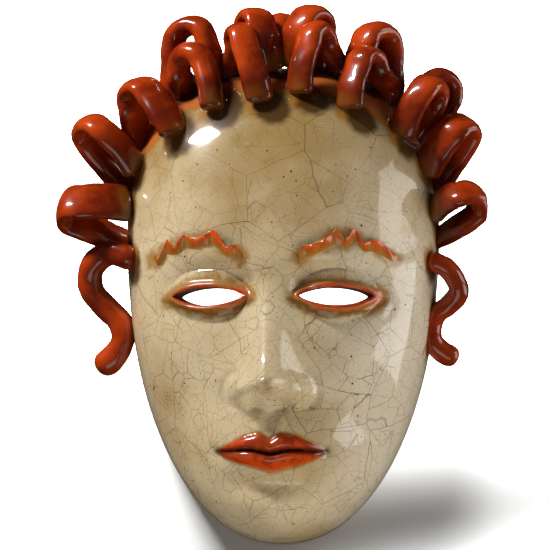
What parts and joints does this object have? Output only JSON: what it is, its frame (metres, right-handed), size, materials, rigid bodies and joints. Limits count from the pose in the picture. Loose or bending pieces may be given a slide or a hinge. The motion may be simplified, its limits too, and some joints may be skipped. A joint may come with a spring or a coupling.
{
  "type": "ceramic wall mask",
  "caption": "Hollow glazed ceramic face mask with slit eyes, crimped brows and rolled loops of hair, lying on its flat rim.",
  "frame": {"origin": "on the plane of the rim that the mask lies on, under the middle of the whole object", "axes": "+Z out of the face, +Y from chin to crown, +X to the viewer's right"},
  "size_m": [0.2025, 0.2519, 0.0854],
  "materials": {
    "cream_crackle_glaze": "glossy cream glaze with fine grey-brown craquelure",
    "red_orange_glaze": "glossy red-orange glaze, thin and ochre at its edges",
    "bare_biscuit": "unglazed pale biscuit on the rim's resting face"
  },
  "bodies": {
    "root": {"mask": "cream_crackle_glaze"}
  },
  "joints": []
}
